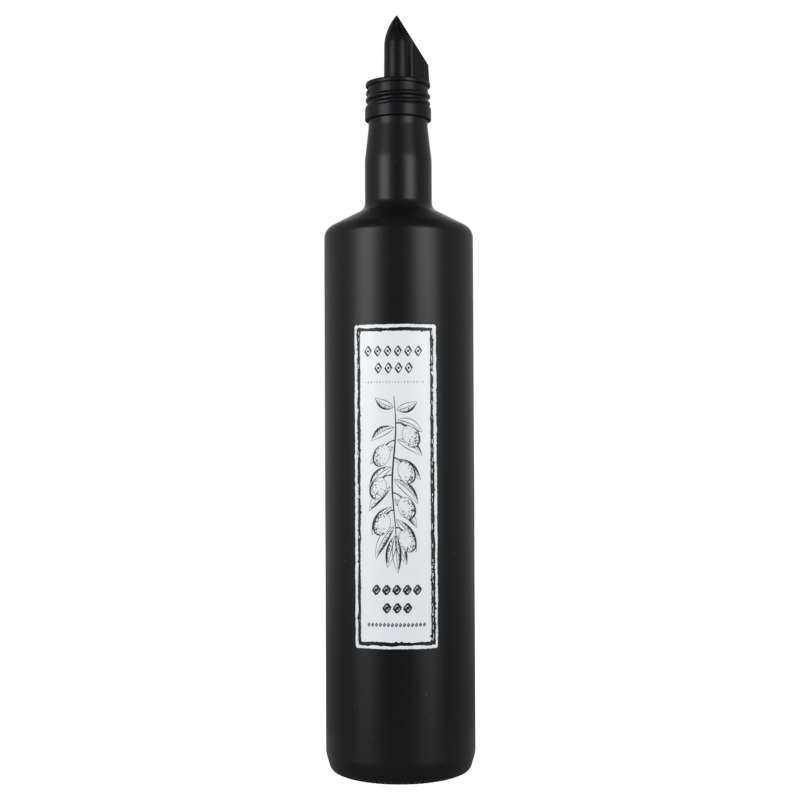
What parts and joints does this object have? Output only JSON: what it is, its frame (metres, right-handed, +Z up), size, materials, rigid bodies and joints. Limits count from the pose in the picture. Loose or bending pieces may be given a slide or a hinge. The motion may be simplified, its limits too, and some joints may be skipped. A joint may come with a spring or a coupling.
{
  "type": "olive oil bottle",
  "caption": "Tall round olive oil bottle with a matt black coat, a threaded collar, a pourer with a slanted spout and a side fin, and a tall printed label.",
  "frame": {"origin": "middle of the base, on the surface that the bottle stands on", "axes": "+Z up along the bottle's axis, label facing -Y, pourer's fin towards +X"},
  "size_m": [0.0754, 0.0755, 0.3832],
  "materials": {
    "coated_glass": "matt black coat over glass",
    "black_plastic": "smooth moulded black plastic",
    "label_print": "matt white label with black print"
  },
  "bodies": {
    "root": {"bottle": "coated_glass", "collar": "black_plastic", "pourer": "black_plastic", "label_border": "label_print", "label_panel": "label_print"}
  },
  "joints": []
}
